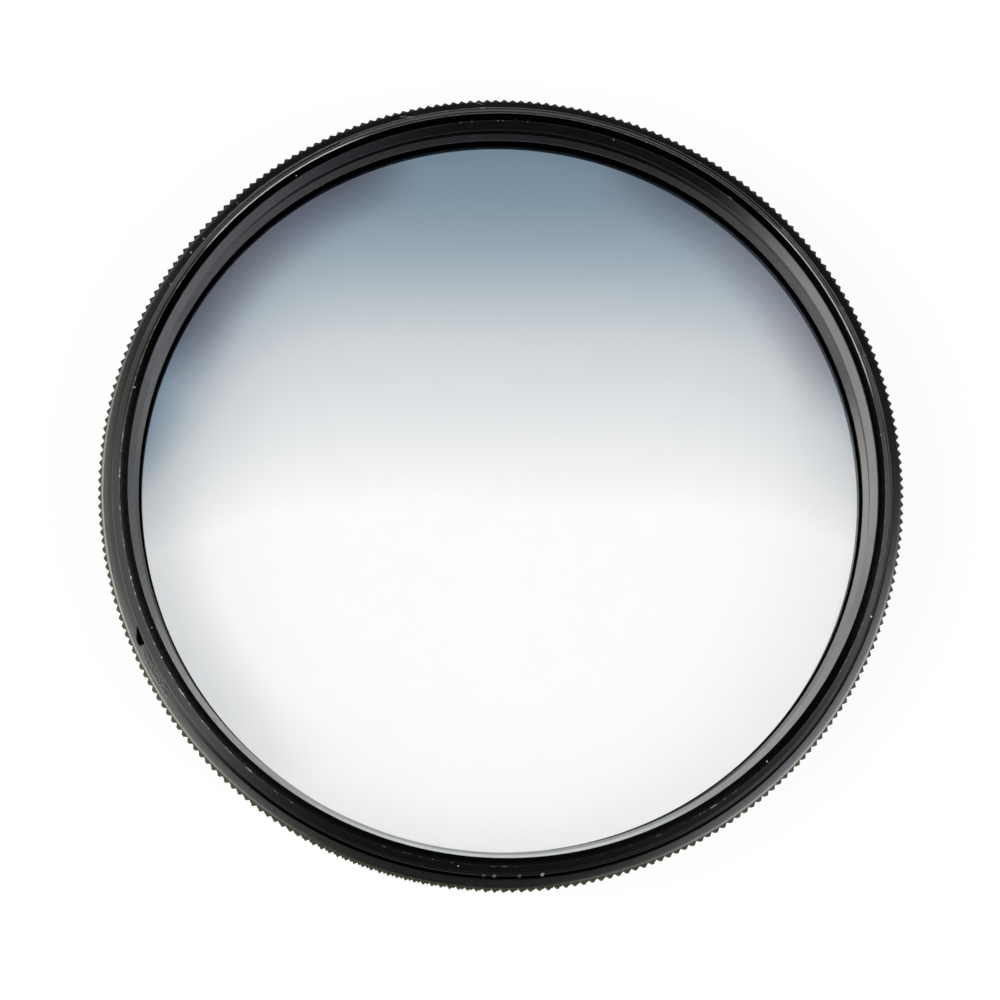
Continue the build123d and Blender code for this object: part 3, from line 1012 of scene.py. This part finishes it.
class LENSFILTER_OT_mount_ring(bpy.types.Operator):
    """Build the knurled mount ring with its male thread"""

    bl_idname = "lensfilter.mount_ring"
    bl_label = "Mount Ring"

    def execute(self, context):
        plan = filter_plan()
        place_piece(mount_ring_mesh(plan), mount_finish(plan), "mount", "mount_ring")
        return {"FINISHED"}


class LENSFILTER_OT_rotating_ring(bpy.types.Operator):
    """Build the rotating ring with its sleeve and female thread"""

    bl_idname = "lensfilter.rotating_ring"
    bl_label = "Rotating Ring"

    def execute(self, context):
        plan = filter_plan()
        place_piece(rotating_ring_mesh(plan), rotor_finish(plan), "rotor", "rotating_ring")
        return {"FINISHED"}


class LENSFILTER_OT_graduated_glass(bpy.types.Operator):
    """Build the graduated glass disc"""

    bl_idname = "lensfilter.graduated_glass"
    bl_label = "Graduated Glass"

    def execute(self, context):
        plan = filter_plan()
        place_piece(disc_mesh(plan), glass_finish(plan), "rotor", "graduated_glass")
        return {"FINISHED"}


class LENSFILTER_OT_retaining_ring(bpy.types.Operator):
    """Build the slotted retaining ring"""

    bl_idname = "lensfilter.retaining_ring"
    bl_label = "Retaining Ring"

    def execute(self, context):
        plan = filter_plan()
        place_piece(retaining_ring_mesh(plan), retainer_finish(plan), "rotor", "retaining_ring")
        return {"FINISHED"}


class LENSFILTER_OT_snap_wire(bpy.types.Operator):
    """Give the snap wire its drawn steel finish"""

    bl_idname = "lensfilter.snap_wire"
    bl_label = "Snap Wire"

    def execute(self, context):
        wire = frame["nodes"]["snap_wire"]
        wire.data.materials.clear()
        wire.data.materials.append(wire_finish())
        return {"FINISHED"}


def floor_material(stage):
    """Matt floor; part of it shows plain white to the camera, to gloss and through the glass."""
    material, start = blank_material("studio_floor")
    path = start.node("ShaderNodeLightPath", output="Is Camera Ray")
    seen = path * stage.floor_glow | path.also("Is Glossy Ray") * stage.gloss_glow
    seen = seen | path.also("Is Transmission Ray") * stage.glass_glow
    matt = start.node("ShaderNodeBsdfDiffuse", inputs={"Color": rgba(stage.floor)})
    white = start.node("ShaderNodeEmission", inputs={"Color": (1.0, 1.0, 1.0, 1.0), "Strength": 1.0})
    both = start.node("ShaderNodeMixShader", inputs={0: seen, 1: matt, 2: white})
    start.node("ShaderNodeOutputMaterial", inputs={"Surface": both})
    return material


def studio_world():
    """A dark studio over a pale floor; plain views past the floor show a pale backdrop."""
    world = bpy.data.worlds.new("studio")
    world.use_nodes = True
    world.node_tree.nodes.clear()
    start = Term(world.node_tree)
    direction = start.node("ShaderNodeTexCoord", output="Generated")
    up = start.node("ShaderNodeSeparateXYZ", inputs={"Vector": direction}, output="Z")
    level = start.node(
        "ShaderNodeValToRGB",
        {
            "stops": (
                (0.0, (0.12, 0.12, 0.124, 1.0)),
                (0.3, (0.06, 0.06, 0.063, 1.0)),
                (0.8, (0.012, 0.012, 0.012, 1.0)),
            )
        },
        {"Fac": up},
    )
    path = start.node("ShaderNodeLightPath", output="Is Camera Ray")
    seen = path | path.also("Is Transmission Ray")
    tone = mixed(seen, level, (0.92, 0.92, 0.92))
    sky = start.node("ShaderNodeBackground", inputs={"Color": tone, "Strength": 1.0})
    start.node("ShaderNodeOutputWorld", inputs={"Surface": sky})
    bpy.context.scene.world = world


def soft_lamp(name, stage, bearing_angle, width, watts, tone):
    """A wide soft lamp that faces the filter, level with the floor along its width."""
    height_angle = stage.lamp_height
    data = bpy.data.lights.new(name, "AREA")
    data.shape = "RECTANGLE"
    data.size = width
    data.size_y = stage.lamp_depth
    data.energy = watts
    data.color = tone
    lamp = bpy.data.objects.new(name, data)
    bpy.context.scene.collection.objects.link(lamp)
    away = Vector((
        math.cos(bearing_angle) * math.cos(height_angle),
        math.sin(bearing_angle) * math.cos(height_angle),
        math.sin(height_angle),
    ))
    lamp.location = away * stage.lamp_distance
    lamp.rotation_euler = away.to_track_quat("Z", "Y").to_euler()


def photo_camera(stage):
    """The camera at the photograph's viewing angle: +Y upright in the picture."""
    plan = filter_plan()
    data = bpy.data.cameras.new("camera")
    data.lens = stage.lens
    data.sensor_width = 36.0
    data.clip_start = 0.01
    data.clip_end = 50.0
    camera = bpy.data.objects.new("camera", data)
    bpy.context.scene.collection.objects.link(camera)
    lean = math.sin(stage.view_tilt)
    back = Vector((
        lean * math.cos(stage.view_bearing),
        lean * math.sin(stage.view_bearing),
        math.cos(stage.view_tilt),
    ))
    right = Vector((0.0, 1.0, 0.0)).cross(back).normalized()
    up = back.cross(right)
    middle = Vector((0.0, 0.0, plan.flange_top * MM))
    turn = Matrix((right, up, back)).transposed().to_4x4()
    camera.matrix_world = Matrix.Translation(middle + back * stage.view_distance) @ turn
    data.shift_x = (PHOTO_PIXELS / 2 - 504.4) / PHOTO_PIXELS
    data.shift_y = (483.1 - PHOTO_PIXELS / 2) / PHOTO_PIXELS
    bpy.context.scene.camera = camera


class LENSFILTER_OT_stage(bpy.types.Operator):
    """Set up the floor, the soft lamps, the world and the camera"""

    bl_idname = "lensfilter.stage"
    bl_label = "Stage"

    def execute(self, context):
        stage = context.scene.lens_filter_stage
        reach = 2.5
        data = bpy.data.meshes.new("floor")
        corners = [(-reach, -reach, 0.0), (reach, -reach, 0.0), (reach, reach, 0.0), (-reach, reach, 0.0)]
        data.from_pydata(corners, [], [(0, 1, 2, 3)])
        data.materials.append(floor_material(stage))
        floor = bpy.data.objects.new("floor", data)
        context.scene.collection.objects.link(floor)
        studio_world()
        soft_lamp("left_lamp", stage, stage.left_bearing, stage.left_width, stage.left_watts, (1.0, 0.99, 0.97))
        soft_lamp("right_lamp", stage, stage.right_bearing, stage.right_width, stage.right_watts, (0.96, 0.98, 1.0))
        photo_camera(stage)
        context.scene.view_settings.view_transform = "Standard"
        return {"FINISHED"}


class LENSFILTER_PT_panel(bpy.types.Panel):
    """Lists the pieces of the lens filter and their settings"""

    bl_label = "Lens Filter"
    bl_idname = "LENSFILTER_PT_panel"
    bl_space_type = "VIEW_3D"
    bl_region_type = "UI"
    bl_category = "Lens Filter"

    def draw(self, context):
        for operator in operators:
            self.layout.operator(operator.bl_idname)
        for group_name in property_groups:
            group = getattr(context.scene, group_name)
            box = self.layout.box()
            for name in group.__annotations__:
                box.prop(group, name)


property_groups = {
    "lens_filter_sizes": LensFilterSizes,
    "lens_filter_finish": LensFilterFinish,
    "lens_filter_stage": LensFilterStage,
}
operators = (
    LENSFILTER_OT_mount_ring,
    LENSFILTER_OT_rotating_ring,
    LENSFILTER_OT_graduated_glass,
    LENSFILTER_OT_retaining_ring,
    LENSFILTER_OT_snap_wire,
    LENSFILTER_OT_stage,
)


def register():
    for name, group in property_groups.items():
        bpy.utils.register_class(group)
        setattr(bpy.types.Scene, name, bpy.props.PointerProperty(type=group))
    for operator in operators:
        bpy.utils.register_class(operator)
    bpy.utils.register_class(LENSFILTER_PT_panel)


def unregister():
    bpy.utils.unregister_class(LENSFILTER_PT_panel)
    for operator in reversed(operators):
        bpy.utils.unregister_class(operator)
    for name, group in reversed(property_groups.items()):
        delattr(bpy.types.Scene, name)
        bpy.utils.unregister_class(group)


def main():
    register()
    bpy.ops.lensfilter.mount_ring()
    bpy.ops.lensfilter.rotating_ring()
    bpy.ops.lensfilter.graduated_glass()
    bpy.ops.lensfilter.retaining_ring()
    bpy.ops.lensfilter.snap_wire()
    bpy.ops.lensfilter.stage()


if __name__ == "__main__":
    main()
